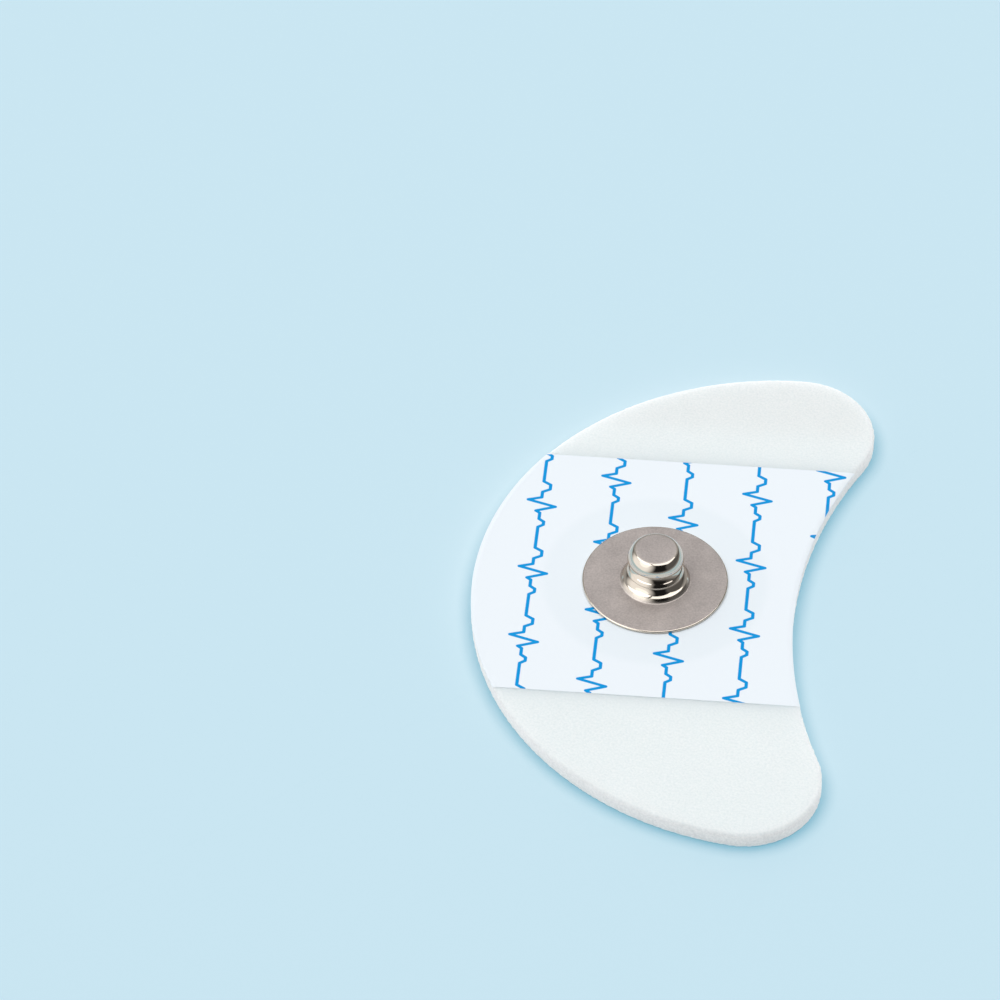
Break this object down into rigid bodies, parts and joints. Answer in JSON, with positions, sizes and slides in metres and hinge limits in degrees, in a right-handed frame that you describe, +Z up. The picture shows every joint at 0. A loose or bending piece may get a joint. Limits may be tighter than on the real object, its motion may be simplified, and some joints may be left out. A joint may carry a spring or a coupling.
{
  "type": "ecg electrode",
  "caption": "Disposable snap electrode: a crescent foam pad with a film label, a nickel-plated press stud, and a gelled sensor disc in a well on the skin side.",
  "frame": {"origin": "on the stud's axis, in the plane of the skin side that the pad rests on", "axes": "+Z up the stud, away from the skin; +X from the stud towards the bay of the crescent; +Y towards the lobe with the grip tab"},
  "size_m": [0.0266, 0.0442, 0.0044],
  "materials": {
    "foam": "white fine-celled polyethylene foam with a soft felt-like surface",
    "film": "white satin polyester film printed in blue",
    "tab_paper": "smooth white coated paper",
    "nickel": "nickel plate, polished on the head and satin on the flange",
    "carbon_plastic": "carbon-filled moulded plastic, fine matt grain",
    "gel": "clear wet hydrogel with a glossy skin"
  },
  "bodies": {
    "root": {"foam_pad": "foam", "label_film": "film", "grip_tab": "tab_paper", "snap_stud": "nickel", "sensor_eyelet": "carbon_plastic", "contact_gel": "gel"}
  },
  "joints": []
}
